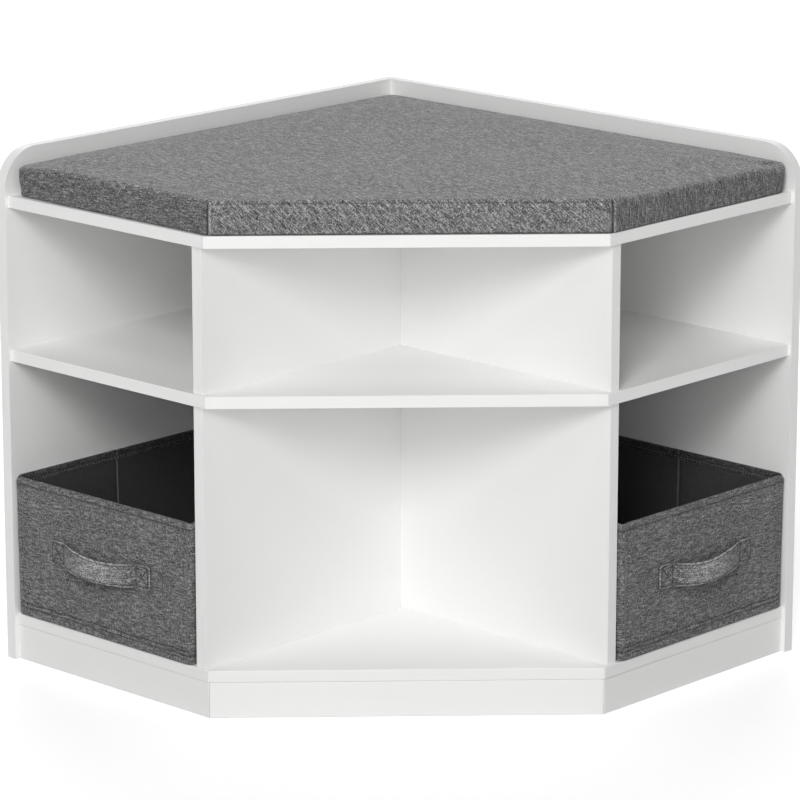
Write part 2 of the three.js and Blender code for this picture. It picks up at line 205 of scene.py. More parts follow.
def linenCloth(name, shade=1.0):
    # Linen-look polyester, plain woven from mixed yarns: matt, heathered, with a slight fuzz.
    # shade below 1 paints the whole cloth darker, as painted shade
    material, tree = newMaterial(name)
    place = addNode(tree, "Attribute", {"attribute_name": "clothPlace"})["Vector"]
    stray = addNode(tree, "TexNoise", sockets={
        "Vector": place, "Scale": perMillimetre(cloth["wanderSize"]), "Detail": 1})["Color"]
    strayed = addNode(tree, "VectorMath", {"operation": "MULTIPLY_ADD"}, {
        0: stray, 1: (cloth["wander"] * cloth["threadSpacing"] * mm,) * 3, 2: place})["Vector"]
    threads = addNode(tree, "VectorMath", {"operation": "SCALE"}, {
        "Vector": strayed, "Scale": perMillimetre(cloth["threadSpacing"])})["Vector"]
    split = addNode(tree, "SeparateXYZ", sockets={"Vector": threads})
    counts, profiles, spread, slubs = {}, {}, {}, {}
    for axis, slub in (("X", cloth["weftSlub"]), ("Y", cloth["warpSlub"])):
        counts[axis] = addNode(tree, "Math", {"operation": "FLOOR"}, {0: split[axis]})["Value"]
        inside = addNode(tree, "Math", {"operation": "PINGPONG"}, {
            0: split[axis], 1: 0.5})["Value"]
        profiles[axis] = addNode(tree, "Math", {"operation": "POWER"}, {
            0: inside, 1: 0.6})["Value"]
        spread[axis] = addNode(tree, "Math", {"operation": "MULTIPLY"}, {
            0: counts[axis], 1: cloth["yarnsApart"]})["Value"]
        slubs[axis] = addNode(tree, "Math", {"operation": "MULTIPLY"}, {
            0: split[axis], 1: cloth["threadSpacing"] / slub})["Value"]
    warp = yarnShade(tree, spread["X"], slubs["Y"], 0.0)
    weft = yarnShade(tree, slubs["X"], spread["Y"], 40.0)
    crossing = addNode(tree, "CombineXYZ", sockets={"X": counts["X"], "Y": counts["Y"]})["Vector"]
    chance = addNode(tree, "TexWhiteNoise", sockets={"Vector": crossing})["Value"]
    weftOver = addNode(tree, "Math", {"operation": "GREATER_THAN"}, {
        0: chance, 1: cloth["warpOnTop"]})["Value"]
    yarnTone = addNode(tree, "Mix", sockets={0: weftOver, 2: warp, 3: weft})[0]
    speck = addNode(tree, "Math", {"operation": "SUBTRACT"}, {0: chance, 1: 0.5})["Value"]
    tone = addNode(tree, "Math", {"operation": "MULTIPLY_ADD"}, {
        0: speck, 1: cloth["specks"], 2: yarnTone})["Value"]
    ramp = tree.nodes.new("ShaderNodeValToRGB")
    ramp.color_ramp.elements.new(0.5)
    for stop, (position, colour) in zip(ramp.color_ramp.elements, cloth["yarns"]):
        stop.position = position
        stop.color = hexColour(colour)
    tree.links.new(tone, ramp.inputs["Fac"])
    height = addNode(tree, "Mix", sockets={0: weftOver, 2: profiles["X"], 3: profiles["Y"]})[0]
    # painted shade in the gaps between the threads, and the whole cloth's painted shade
    gaps = addNode(tree, "MapRange", sockets={
        "Value": height, "From Min": 0.0, "From Max": 0.45,
        "To Min": cloth["gapPaintedShade"] * shade, "To Max": shade})["Result"]
    colour = addNode(tree, "HueSaturation", sockets={
        "Color": ramp.outputs["Color"], "Value": gaps})["Color"]
    finishMaterial(tree, {
        "Base Color": toneShifted(tree, colour), "Roughness": 0.9, "IOR": 1.45, "Specular IOR Level": 0.25,
        "Sheen Weight": cloth["sheen"], "Sheen Roughness": 0.5,
        "Sheen Tint": hexColour("#D8D8D8")}, (height, cloth["threadHeight"], 0.8))
    return material


lining = {
    "black": "#333334",
    "worn": "#434344",
    "bondSpacing": 1.8,  # the heat-bonded dots of the felt
    "bondHeight": 0.08 * mm,
    "fibreSize": 6,  # of the paler, worn spots
}


def nonwovenLining():
    # Black spunbonded polypropylene: dull, with a grid of small bonded dimples.
    material, tree = newMaterial("nonwovenLining")
    place = addNode(tree, "TexCoord")["Object"]
    bonds = addNode(tree, "TexVoronoi", sockets={
        "Vector": place, "Scale": perMillimetre(lining["bondSpacing"]), "Randomness": 0.25})
    fibres = addNode(tree, "TexNoise", sockets={
        "Vector": place, "Scale": perMillimetre(lining["fibreSize"]), "Detail": 4})["Fac"]
    plain = addNode(tree, "Mix", mixColours, {
        mixShare: fibres,
        mixFirst: hexColour(lining["black"]),
        mixSecond: hexColour(lining["worn"])})[mixed]
    finishMaterial(tree, {
        "Base Color": toneShifted(tree, plain), "Roughness": 0.8, "IOR": 1.49},
                   (bonds["Distance"], lining["bondHeight"], 0.5))
    return material


thread = {
    "grey": "#3A3B3D",
    # painted shade in the twist's grooves
    "paintedTwistShade": "#28292A",
    "twistSpacing": 2.771,  # along an axis; the real one is about 0.7, drawn coarser so that it shows
}


def sewingThread():
    # Twisted polyester sewing thread: a slight shine, and the twist seen as slanted bands, with painted
    # shade in the grooves between its plies.
    material, tree = newMaterial("sewingThread")
    place = addNode(tree, "TexCoord")["Object"]
    # at a scale of 1 the diagonal wave comes back after a tenth of tau along an axis
    twist = addNode(tree, "TexWave", {"bands_direction": "DIAGONAL"}, {
        "Vector": place, "Scale": perMillimetre(thread["twistSpacing"]) * math.tau / 10})["Fac"]
    colour = addNode(tree, "Mix", mixColours, {
        mixShare: twist,
        mixFirst: hexColour(thread["grey"]),
        mixSecond: hexColour(thread["paintedTwistShade"])})[mixed]
    finishMaterial(tree, {"Base Color": toneShifted(tree, colour), "Roughness": 0.55},
                   (twist, 0.1 * mm, 0.5))
    return material


zinc = {
    "bright": "#C6C9CC",
    "dull": "#A5A9AE",
    "cloudSize": 3,
    "turningSpacing": 0.5,
    "roughness": (0.28, 0.42),
}


def zincPlatedSteel():
    # Bright zinc plate on turned steel: cool, a little cloudy, with fine turning marks.
    material, tree = newMaterial("zincPlatedSteel")
    place = addNode(tree, "TexCoord")["Object"]
    cloud = addNode(tree, "TexNoise", sockets={
        "Vector": place, "Scale": perMillimetre(zinc["cloudSize"]), "Detail": 3})["Fac"]
    marks = addNode(tree, "TexNoise", sockets={
        "Vector": place, "Scale": perMillimetre(zinc["turningSpacing"]), "Detail": 1})["Fac"]
    colour = addNode(tree, "Mix", mixColours, {
        mixShare: cloud,
        mixFirst: hexColour(zinc["bright"]),
        mixSecond: hexColour(zinc["dull"])})[mixed]
    low, high = zinc["roughness"]
    roughness = addNode(tree, "MapRange", sockets={
        "Value": cloud, "To Min": low, "To Max": high})["Result"]
    finishMaterial(tree, {"Base Color": colour, "Roughness": roughness, "Metallic": 1.0},
                   (marks, 0.02 * mm, 0.4))
    return material


beech = {"pale": "#D2B48C", "ray": "#A9845A", "ringSpacing": 1.6, "rayLength": 9}


def turnedBeech():
    # Beech dowel, turned and left bare: pale, close grained, with short darker rays.
    material, tree = newMaterial("turnedBeech")
    place = addNode(tree, "TexCoord")["Object"]
    stretched = addNode(tree, "Mapping", sockets={
        "Vector": place, "Scale": (1, 1, beech["ringSpacing"] / beech["rayLength"])})["Vector"]
    grain = addNode(tree, "TexNoise", sockets={
        "Vector": stretched, "Scale": perMillimetre(beech["ringSpacing"]), "Detail": 4})["Fac"]
    colour = addNode(tree, "Mix", mixColours, {
        mixShare: grain,
        mixFirst: hexColour(beech["pale"]),
        mixSecond: hexColour(beech["ray"])})[mixed]
    finishMaterial(tree, {"Base Color": colour, "Roughness": 0.65, "IOR": 1.5},
                   (grain, 0.05 * mm, 0.5))
    return material


board = lacqueredBoard()
cushionCloth = linenCloth("cushionCloth")
# the baskets get a darker copy of the same cloth, as painted shade
basketCloth = linenCloth("basketCloth", cloth["basketPaintedShade"])
felt = nonwovenLining()
yarn = sewingThread()
steel = zincPlatedSteel()
wood = turnedBeech()
print("materials mixed")


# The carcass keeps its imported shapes, with broken edges and a finish of its own.
edges = {
    "radius": 0.6 * mm,
    "plinthRadius": 1 * mm,  # the base board's and the plinth's, so that their joint shows
    "steps": 3,
    "fromAngle": math.radians(35),
}


def breakEdges(obj, radius, clamped=True):
    weld = obj.modifiers.new("weld", "WELD")
    weld.merge_threshold = 0.001 * mm
    dissolve = obj.modifiers.new("flatFaces", "DECIMATE")
    dissolve.decimate_type = "DISSOLVE"
    dissolve.angle_limit = math.radians(1)
    bevel = obj.modifiers.new("brokenEdges", "BEVEL")
    bevel.width = radius
    bevel.segments = edges["steps"]
    bevel.limit_method = "ANGLE"
    bevel.angle_limit = edges["fromAngle"]
    bevel.use_clamp_overlap = clamped
    shading = obj.modifiers.new("evenShading", "WEIGHTED_NORMAL")
    shading.keep_sharp = True


def finishCarcass():
    for name, obj in nodes.items():
        if name.startswith(("basket_", "seat_cushion")):
            continue
        kind = board
        if "screw" in name:
            kind = steel
        elif "dowel" in name:
            kind = wood
        obj.data.materials.clear()
        obj.data.materials.append(kind)
        if kind is board:
            low = name.startswith(("plinth", "base_board"))
            breakEdges(obj, edges["plinthRadius" if low else "radius"], clamped=not low)


finishCarcass()
print("boards, screws and dowels finished")


# Meshes

def makePiece(name, points, faces, material, places=None, tones=None, sharpFrom=50):
    # places are the spots on the flat cloth that the points come from; tones are the painted light
    # (above 0) or painted shade (below 0) that the cloth carries there, as a share
    mesh = bpy.data.meshes.new(name)
    mesh.from_pydata([tuple(point) for point in points], [], faces)
    mesh.validate()
    if places:
        layer = mesh.attributes.new("clothPlace", "FLOAT_VECTOR", "POINT")
        layer.data.foreach_set("vector", [c for place in places for c in (place[0], place[1], 0)])
    if tones:
        layer = mesh.attributes.new("paintedLight", "FLOAT", "POINT")
        layer.data.foreach_set("value", tones)
    mesh.polygons.foreach_set("use_smooth", [True] * len(mesh.polygons))
    mesh.set_sharp_from_angle(angle=math.radians(sharpFrom))
    mesh.materials.append(material)
    obj = bpy.data.objects.new(name, mesh)
    bpy.context.scene.collection.objects.link(obj)
    return obj


def skinFaces(ringCount, perRing):
    # quads between closed rings of points, each ring as long as the next
    faces = []
    for low in range(0, (ringCount - 1) * perRing, perRing):
        for i in range(perRing):
            j = (i + 1) % perRing
            faces.append((low + i, low + j, low + perRing + j, low + perRing + i))
    return faces


def closeStack(rings, topPoint, bottomPoint):
    # points and faces of a stack of rings, with a fan over its last and its first
    count = len(rings[0])
    points = [point for ring in rings for point in ring] + [topPoint, bottomPoint]
    faces = skinFaces(len(rings), count)
    top, bottom = len(points) - 2, len(points) - 1
    last = (len(rings) - 1) * count
    for i in range(count):
        j = (i + 1) % count
        faces.append((last + i, last + j, top))
        faces.append((j, i, bottom))
    return points, faces


def smoothStep(share):
    share = min(max(share, 0), 1)
    return share * share * (3 - 2 * share)


def bell(distance, width):
    return math.exp(-(distance / width) ** 2)


# Seat cushion: a foam slab in a cover whose top folds down over the sides as one cloth.
cushion = {
    "boardInset": 0.5 * mm,  # from the seat board's edge
    "slide": 2.2 * mm,  # it lies a little towards the photo's right
    "cornerRadius": 14 * mm,
    "arcSteps": (2 * mm, 0.9 * mm),  # between points round a plain corner and round a sewn one
    "drawIn": 1 * mm,  # the sides between their corners
    "bands": (31 * mm, 28.5 * mm, 24.5 * mm),  # height of the side band: front, left and right wing
    "edgeRolls": (2 * mm, 5 * mm, 5 * mm),  # radius of the cloth's roll above it, in the same order
    # painted shade on the side band, fading over its roll: front, left and right wing
    "bandPaintedShade": (-0.12, -0.34, -0.34),
    "ridgePaintedHighlight": (0.14, 0, 0),  # a painted highlight on the cloth just below the seam, which stands proud
    "rightReach": 45 * mm,  # from the front corner, for the right wing's full drop
    "frontFacing": (1.25, 0.15),  # from and over, where 1 faces as a wing does and 1.41 as the front
    "bandBulge": 0.9 * mm,
    "bandShares": (0.2, 0.32, 0.44, 0.56, 0.68, 0.8),  # heights of its rings of points
    "seamDepth": 0.45 * mm,  # along the front; the wings have none
    "seamWidth": 0.8 * mm,
    # in seam widths: heights of the rings across it, its place below the band's top, its spread,
    # and the place and spread of the ridge below it
    "seamSteps": (-3.0, -2.0, -1.3, -0.8, -0.4, 0, 0.4, 0.8, 1.3),
    "seamBelow": 1.5,
    "seamSpread": 0.7,
    "ridgeBelow": 2.3,
    "ridgeSpread": 1.2,
    "uprightSeamDepth": 1.4 * mm,  # at the two front corners
    "uprightSeamFade": 4 * mm,  # it runs out at the top
    "uprightSeamLip": 0.8 * mm,
    "uprightSeamWidth": 0.9 * mm,
    "lipBeside": 2.4,  # in widths of the upright seam, as its spread
    "lipSpread": 1.2,
    # painted shade in the upright seams' grooves and in the seam along the front, a painted highlight on
    # the upright seams' lips
    "seamPaintedShade": -0.62,
    "lipPaintedHighlight": 0.8,
    "edgeSeamPaintedShade": -0.32,
    "underTone": -0.8,  # the cloth's lowest edge lies in its own shade
    "baseRadius": 2 * mm,
    "curveSteps": 4,  # round the base and the roll
    "rollInset": 0.1 * mm,
    "topShares": (0.985, 0.965, 0.94, 0.91, 0.87, *(0.82 - 0.045 * i for i in range(18))),
    "crownBefore": 1.2 * mm,  # the rest of the crown comes from the swelling
    "crownFrom": 0.2,  # of the way in, where the top has risen from the wings' lower edges
    "wallDroopShare": 0.093,  # lower along the wall panels
    "wallReach": 60 * mm,
    "endDroopShare": 0.05,  # and a little more at its two ends
    "endReach": 85 * mm,
    "endTuck": 3 * mm,  # and their lower corners draw in
    "pucker": 0.35 * mm,
    "puckerLength": 26 * mm,
    "sidewaysLength": 65 * mm,  # of the slower waves, in and out
    "outlineStep": 4 * mm,
    "voxel": 5 * mm,
    "pressure": 4,
    "quality": 5,
    "frames": 20,
    "neighbours": 12,  # simulated points that a point of the cover follows
    "mostUp": 3.2 * mm,
    "swellFrom": 0.35,  # of the way from the edge to the middle, for the full height
    "mostOut": 1.2 * mm,
    "wallGap": 0.5 * mm,
}


def cushionCorners():
    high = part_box("seat_cushion")[1]
    boards = [vertex.co for vertex in nodes["seat_board"].data.vertices]
    front = min(point.x for point in boards)
    wingEnd = min(point.y for point in boards if point.x < front + mm)
    inset, slide = cushion["boardInset"], cushion["slide"]
    turn = wingEnd + inset * math.tan(math.pi / 8)
    left, right = front + inset + slide, front + inset - slide
    # anticlockwise from the back corner
    return [Vector(corner) for corner in (
        (high.x, high.y), (left, high.y), (left, turn - slide), (turn + slide, right),
        (high.x, right))]


def uprightSeam(offset):
    # depth of the seam at a distance along the cloth: a groove with a lip beside it
    width = cushion["uprightSeamWidth"]
    groove = cushion["uprightSeamDepth"] * bell(offset, width)
    lip = bell(offset - cushion["lipBeside"] * width, cushion["lipSpread"] * width)
    return groove - cushion["uprightSeamLip"] * lip


def cushionOutline():
    # (place, outward direction, depth of an upright seam) all round, the sewn front corners finer
    corners = cushionCorners()
    radius = cushion["cornerRadius"]
    outline = []
    for i, corner in enumerate(corners):
        before, after = corners[i - 1], corners[(i + 1) % len(corners)]
        arriving = (corner - before).normalized()
        leaving = (after - corner).normalized()
        turn = arriving.angle(leaving)
        reach = radius * math.tan(turn / 2)
        centre = corner - arriving * reach + Vector((-arriving.y, arriving.x)) * radius
        sewn = i in (2, 3)
        arcSteps = round(turn * radius / cushion["arcSteps"][sewn])
        outwardFirst = Vector((arriving.y, -arriving.x))
        for step in range(arcSteps + 1):
            angle = turn * step / arcSteps
            outward = Vector((
                outwardFirst.x * math.cos(angle) - outwardFirst.y * math.sin(angle),
                outwardFirst.x * math.sin(angle) + outwardFirst.y * math.cos(angle)))
            offset = turn * radius * (step / arcSteps - 0.5)
            outline.append((centre + outward * radius, outward, uprightSeam(offset) if sewn else 0))
        turnAfter = leaving.angle((corners[(i + 2) % len(corners)] - after).normalized())
        start = corner + leaving * reach
        end = after - leaving * radius * math.tan(turnAfter / 2)
        outward = Vector((leaving.y, -leaving.x))
        length = (end - start).length
        count = round(length / cushion["outlineStep"])
        for step in range(1, count):
            share = step / count
            pull = cushion["drawIn"] * math.sin(math.pi * share) ** 0.8
            outline.append((start.lerp(end, share) - outward * pull, outward, 0))
    return outline


def bandProfile(which):
    # (outward shift, height, painted shade and highlight, seam depth) up the side band, over the seam and
    # onto the top;
    # which is 0 for the front, 1 for the left wing and the back, 2 for the right wing
    band, roll = cushion["bands"][which], cushion["edgeRolls"][which]
    base, shade = cushion["baseRadius"], cushion["bandPaintedShade"][which]
    curve = [step / cushion["curveSteps"] for step in range(cushion["curveSteps"] + 1)]
    rows = []
    for share in curve:
        angle = math.pi / 2 * share
        under = (cushion["underTone"] - shade) * (1 - share) ** 0.5
        rows.append((-base * (1 - math.sin(angle)), base * (1 - math.cos(angle)), shade + under, 0))
    for share in cushion["bandShares"]:
        rows.append((cushion["bandBulge"] * math.sin(math.pi * share), band * share, shade, 0))
    for step in cushion["seamSteps"]:
        ridge = bell(step + cushion["ridgeBelow"], cushion["ridgeSpread"])
        rows.append((
            0, band + cushion["seamWidth"] * (step - cushion["seamBelow"]),
            shade + cushion["ridgePaintedHighlight"][which] * ridge, bell(step, cushion["seamSpread"])))
    top = rows[-1][1]
    for share in curve[1:]:
        angle = math.pi / 2 * share
        rows.append((
            -roll * (1 - math.cos(angle)) - cushion["rollInset"], top + roll * math.sin(angle),
            shade * (1 - share), 0))
    return rows


def cushionRings(outline, seat):
    # rings of (point, place on the cloth, painted shade and highlight, share of the way in), lowest first,
    # and the middle
    middle = sum((place for place, _, _ in outline), Vector((0, 0))) / len(outline)
    profile = list(zip(bandProfile(0), bandProfile(1), bandProfile(2)))
    top = profile[-1][0][1]
    frontRight = cushionCorners()[3]
    frontFrom, frontBlend = cushion["frontFacing"]
    rings = []
    for rows in profile:
        ring = []
        for place, outward, upright in outline:
            # the front has a seam and a tight roll, the wings a soft roll without a seam
            front = smoothStep((-outward.x - outward.y - frontFrom) / frontBlend)
            right = smoothStep(-outward.y * 2 - 1)  # the right wing faces -y
            right *= smoothStep((place - frontRight).length / cushion["rightReach"])
            shares = (front, (1 - front) * (1 - right), (1 - front) * right)
            shift, height, tone, seamShare = (
                sum(share * value for share, value in zip(shares, values)) for values in zip(*rows))
            edge = sum(share * row[1] for share, row in zip(shares, profile[-1]))
            seam = seamShare * front
            sunk = upright * smoothStep((edge - height) / cushion["uprightSeamFade"])
            spot = place + outward * (shift - sunk - cushion["seamDepth"] * seam)
            folded = place + outward * (edge - height)
            # painted shade in the seams' grooves, a painted highlight on the upright seams' lips
            seamPaintedLight = cushion["seamPaintedShade"] * max(sunk, 0) / cushion["uprightSeamDepth"]
            seamPaintedLight += cushion["lipPaintedHighlight"] * max(-sunk, 0) / cushion["uprightSeamLip"]
            seamPaintedLight += cushion["edgeSeamPaintedShade"] * seam
            ring.append((Vector((spot.x, spot.y, seat + height)), folded, tone + seamPaintedLight, 0))
        rings.append(ring)
    rim = rings[-1]
    for share in cushion["topShares"]:
        ring = []
        for corner, *_ in rim:
            spot = middle.lerp(corner.xy, share)
            lower = (seat + top - corner.z) * (1 - smoothStep((1 - share) / cushion["crownFrom"]))
            height = top - lower + cushion["crownBefore"] * (1 - share ** 6)
            ring.append((Vector((spot.x, spot.y, seat + height)), spot, 0, 1 - share))
        rings.append(ring)
    crown = Vector((middle.x, middle.y, seat + top + cushion["crownBefore"]))
    return rings, crown, middle


def evaluatedMesh(obj):
    graph = bpy.context.evaluated_depsgraph_get()
    return bpy.data.meshes.new_from_object(obj.evaluated_get(graph), depsgraph=graph)


def swell(points, faces):
    # Inflates a remeshed copy as cloth. Returns its rest points and how far each one moved.
    scene = bpy.context.scene
    rough = makePiece("roughCushion", points, faces, cushionCloth)
    remesh = rough.modifiers.new("remesh", "REMESH")
    remesh.mode = "VOXEL"
    remesh.voxel_size = cushion["voxel"]
    skin = bpy.data.objects.new("swollenCushion", evaluatedMesh(rough))
    scene.collection.objects.link(skin)
    resting = [vertex.co.copy() for vertex in skin.data.vertices]
    modifier = skin.modifiers.new("cloth", "CLOTH")
    modifier.settings.quality = cushion["quality"]
    modifier.settings.use_pressure = True
    modifier.settings.uniform_pressure_force = cushion["pressure"]
    modifier.settings.effector_weights.gravity = 0
    modifier.point_cache.frame_start = 1
    modifier.point_cache.frame_end = cushion["frames"]
    for step in range(1, cushion["frames"] + 1):
        scene.frame_set(step)
    swollen = evaluatedMesh(skin)
    moves = [vertex.co - rest for vertex, rest in zip(swollen.vertices, resting)]
    scene.frame_set(1)
    bpy.data.objects.remove(skin)
    bpy.data.objects.remove(rough)
    return resting, moves


def followSwelling(points, resting, moves):
    tree = KDTree(len(resting))
    for i, point in enumerate(resting):
        tree.insert(point, i)
    tree.balance()
    moved = []
    for point in points:
        total, weights = Vector((0, 0, 0)), 0
        for _, i, distance in tree.find_n(point, cushion["neighbours"]):
            weight = 1 / (distance + cushion["voxel"]) ** 2
            total += moves[i] * weight
            weights += weight
        moved.append(total / weights)
    return moved


def buildCushion():
    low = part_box("seat_cushion")[0]
    outline = cushionOutline()
    rings, crown, middle = cushionRings(outline, low.z)
    flat = [[point for point, *_ in ring] for ring in rings]
    bottom = Vector((middle.x, middle.y, low.z))
    points, faces = closeStack(flat, crown, bottom)
    places = [place for ring in rings for _, place, _, _ in ring] + [middle, middle]
    tones = [tone for ring in rings for _, _, tone, _ in ring] + [0, cushion["underTone"]]
    inward = [share for ring in rings for *_, share in ring] + [1, 0]
    moves = followSwelling(points, *swell(points, faces))
    wall = nodes["wall_panel_left"].data.vertices
    limit = min(vertex.co.y for vertex in wall) - cushion["wallGap"]
    band = cushion["bands"][0]
    corners = cushionCorners()
    shaped = []
    for point, move, share in zip(points, moves, inward):
        height = point.z - low.z
        level = height / band
        toEnd = min((point.xy - corners[i]).length for i in (1, 4))
        nearEnd = 1 - smoothStep(toEnd / cushion["endReach"])
        nearWall = 1 - smoothStep((limit - max(point.x, point.y)) / cushion["wallReach"])
        droop = nearEnd * cushion["endDroopShare"] + nearWall * cushion["wallDroopShare"]
        up = min(max(move.z, 0), cushion["mostUp"]) * smoothStep(share / cushion["swellFrom"])
        up += noise.noise(point / cushion["puckerLength"]) * cushion["pucker"] * smoothStep(level)
        out = Vector((move.x, move.y, 0))
        if out.length > cushion["mostOut"]:
            out.length = cushion["mostOut"]
        # the lowest quarter of the band swells less and less towards the seat
        spot = point + out * smoothStep(level * 4) + upward * (up - droop * height)
        away = Vector((point.x - middle.x, point.y - middle.y, 0)).normalized()
        tuck = nearEnd * cushion["endTuck"] * (1 - smoothStep(level))
        sideways = noise.noise(point / cushion["sidewaysLength"]) * cushion["pucker"]
        spot += away * (sideways - tuck)
        spot.x = min(spot.x, limit)
        spot.y = min(spot.y, limit)
        spot.z = max(spot.z, low.z)
        shaped.append(spot)
    cover = makePiece("cushion_cover", shaped, faces, cushionCloth, places, tones, sharpFrom=80)
    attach(cover, "cushion")
    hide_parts("seat_cushion")
    return cover


buildCushion()
print("cushion sewn and filled")


# Baskets: card walls in grey cloth, a turned-over hem, a black lining and a strap.
basket = {
    "cornerRadius": 5 * mm,
    "rimRise": {"left": 6.4 * mm, "right": 1.9 * mm},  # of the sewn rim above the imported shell
    "standsOut": 7.2 * mm,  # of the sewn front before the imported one, level with the boards' edges
    "spread": 1 * mm,  # towards the wall panel
    "cornerDips": (3.5 * mm, 1 * mm),  # lower at its corners beside the wall panel and the divider
    "cornerLifts": (1.5 * mm, 0.4 * mm),  # and the bottom edge higher, in the same order
    "cornerReach": 8 * mm,
    "wall": 2.3 * mm,  # cloth and card together
    "liningThickness": 0.7 * mm,
    "hemHeight": 9 * mm,
    "hemProud": 0.3 * mm,
    "hemInside": 9.8 * mm,
    "hemInsideProud": 0.7,  # share of hemProud
    "flare": 1.7 * mm,  # each side at the rim
    "waviness": 0.55 * mm,
    "waveLength": 85 * mm,
    "floorThickness": 1.2 * mm,
    "rowHeights": (9 * mm, 13.5 * mm),  # the two stitched rows above the floor
    "rowInsets": (4.5 * mm, 8.5 * mm),  # the two stitched rows beside each corner
    "hemRow": 7.2 * mm,  # below the rim
    "groove": 0.8 * mm,
    "grooveWidth": 0.9 * mm,
    "grooveSpread": 0.7,  # in groove widths
    "groovePaintedShade": -0.75,  # painted shade in the grooves of the rows that run round
    "hemPaintedShade": -0.66,  # painted shade: inside the rim the cloth is painted darker
    "hemFoldPaintedLight": (0.4, -0.3),  # there, a painted highlight on the ridge of its fold and painted shade in its groove and its stitched row
    "liningFoldPaintedLight": (2.2, -0.95),  # and on the lining's fold: a painted highlight on its ridge and painted shade in its groove
    "columnStep": 9 * mm,
    "rowStep": 9 * mm,
    "rowClear": 4 * mm,  # from the stitched rows to what comes next
    "columnClear": 3 * mm,
    "rowsBelowHem": 2 * mm,  # the upright rows end there
    "insideLift": 0.2,  # of the stitches inside the rim, in groove depths
    "firstRing": 2.2 * mm,
    "lastRing": 1 * mm,  # below the hem
    "bottomCurve": ((-2, 0), (-1, 0.15), (-0.3, 0.8)),  # (lift, height) of the wall's foot, in mm
    "hemEdge": ((0, -0.2), (0.6, 0), (1, 0.5)),  # (share of hemProud, height in mm from its edge)
    "hemEndEdge": ((0, 0), (0.5, -0.4)),  # (lift, height) in mm from its inner end
    "rimRings": (4 * mm, 1.6 * mm, 3 * mm),  # below the rim: two outside, one inside
    "rimSteps": 7,
    "liningRows": 12,
    "liningGap": 0.05 * mm,  # to the wall
    "liningBelow": 0.6 * mm,  # from the hem's inner end to the lining's upper edge
    "liningLift": 0.1 * mm,  # above the cover's floor
    "liningFoot": 2 * mm,  # height of the bend at its foot
    "liningFootIn": (1 * mm, 1.2 * mm),  # where the bend ends, outside and inside
    "liningFootUp": 0.9 * mm,
    "foldRidge": 0.9 * mm,  # where a side wall folds flat: a ridge and a groove side by side
    "foldGroove": 0.8 * mm,
    "foldWidth": 0.9 * mm,
}

# a row's groove takes three lines of points
rowShifts = (-basket["grooveWidth"], 0.0, basket["grooveWidth"])

facings = ((1, 0), (0, 1), (-1, 0), (0, -1))  # of a basket's four sides, as (out, along)


class BasketPlace:
    # Turns a basket's own directions (out of the bay, along its front, up) into the bench's.

    def __init__(self, side):
        self.side = side
        low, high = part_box(f"basket_{side}_shell")
        outAxis, alongAxis = (0, 1) if side == "left" else (1, 0)
        proud = basket["hemProud"]
        outs = (-high[outAxis] + proud, -low[outAxis] - proud + basket["standsOut"])
        alongs = (low[alongAxis] + proud, high[alongAxis] - proud + basket["spread"])
        self.depth, self.width = outs[1] - outs[0], alongs[1] - alongs[0]
        self.middle = (sum(outs) / 2, sum(alongs) / 2)
        self.bottom = low.z
        self.height = high.z + basket["rimRise"][side] - low.z
        low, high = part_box(f"basket_{side}_strap_handle")
        self.strapUp = (low.z + high.z) / 2 - self.bottom + strap["raise"][side]

    def direction(self, out, along, up):
        return Vector((-out, along, up) if self.side == "left" else (along, -out, up))

    def point(self, out, along, up):
        return self.direction(out + self.middle[0], along + self.middle[1], self.bottom + up)


def outlineColumns(place):
    # distances along one side, from corner to corner, where a column of points stands
    columns = {}
    for name, length in (("front", place.width), ("flank", place.depth)):
        radius = basket["cornerRadius"]
        fixed = [0.0, length - 2 * radius]
        for inset in basket["rowInsets"]:
            for shift in rowShifts:
                fixed += [inset - radius + shift, length - radius - inset + shift]
        if name == "flank":
            middle = length / 2 - radius
            fixed += [middle + basket["foldWidth"] * step for step in range(-4, 5)]
        first = max(basket["rowInsets"]) - radius + basket["columnClear"]
        last = length - 2 * radius - first
        count = round((last - first) / basket["columnStep"])
        fixed += [first + (last - first) * i / count for i in range(count + 1)]
        columns[name] = sorted({round(value, 6) for value in fixed if 0 <= value <= length - 2 * radius})
    return columns


def basketOutline(place):
    # (out, along, direction out, direction along, distance round, distance to the nearest corner)
    radius, columns = basket["cornerRadius"], outlineColumns(place)
    halfOut, halfAlong = place.depth / 2 - radius, place.width / 2 - radius
    centres = [(halfOut, halfAlong), (-halfOut, halfAlong), (-halfOut, -halfAlong), (halfOut, -halfAlong)]
    outline, travelled = [], 0
    for i, (facing, centre) in enumerate(zip(facings, centres)):
        name = "front" if i % 2 == 0 else "flank"
        length = (place.width if name == "front" else place.depth) - 2 * radius
        start = centres[i - 1]
        for distance in columns[name]:
            share = distance / length
            out = start[0] + (centre[0] - start[0]) * share + facing[0] * radius
            along = start[1] + (centre[1] - start[1]) * share + facing[1] * radius
            nearest = min(distance, length - distance) + radius
            outline.append((out, along, *facing, travelled + distance, nearest))
        travelled += length
        for share in (0.25, 0.5, 0.75):
            angle = math.pi / 2 * share
            a = facing[0] * math.cos(angle) - facing[1] * math.sin(angle)
            b = facing[0] * math.sin(angle) + facing[1] * math.cos(angle)
            outline.append((
                centre[0] + a * radius, centre[1] + b * radius, a, b, travelled + radius * angle, 0.0))
        travelled += radius * math.pi / 2
    return outline


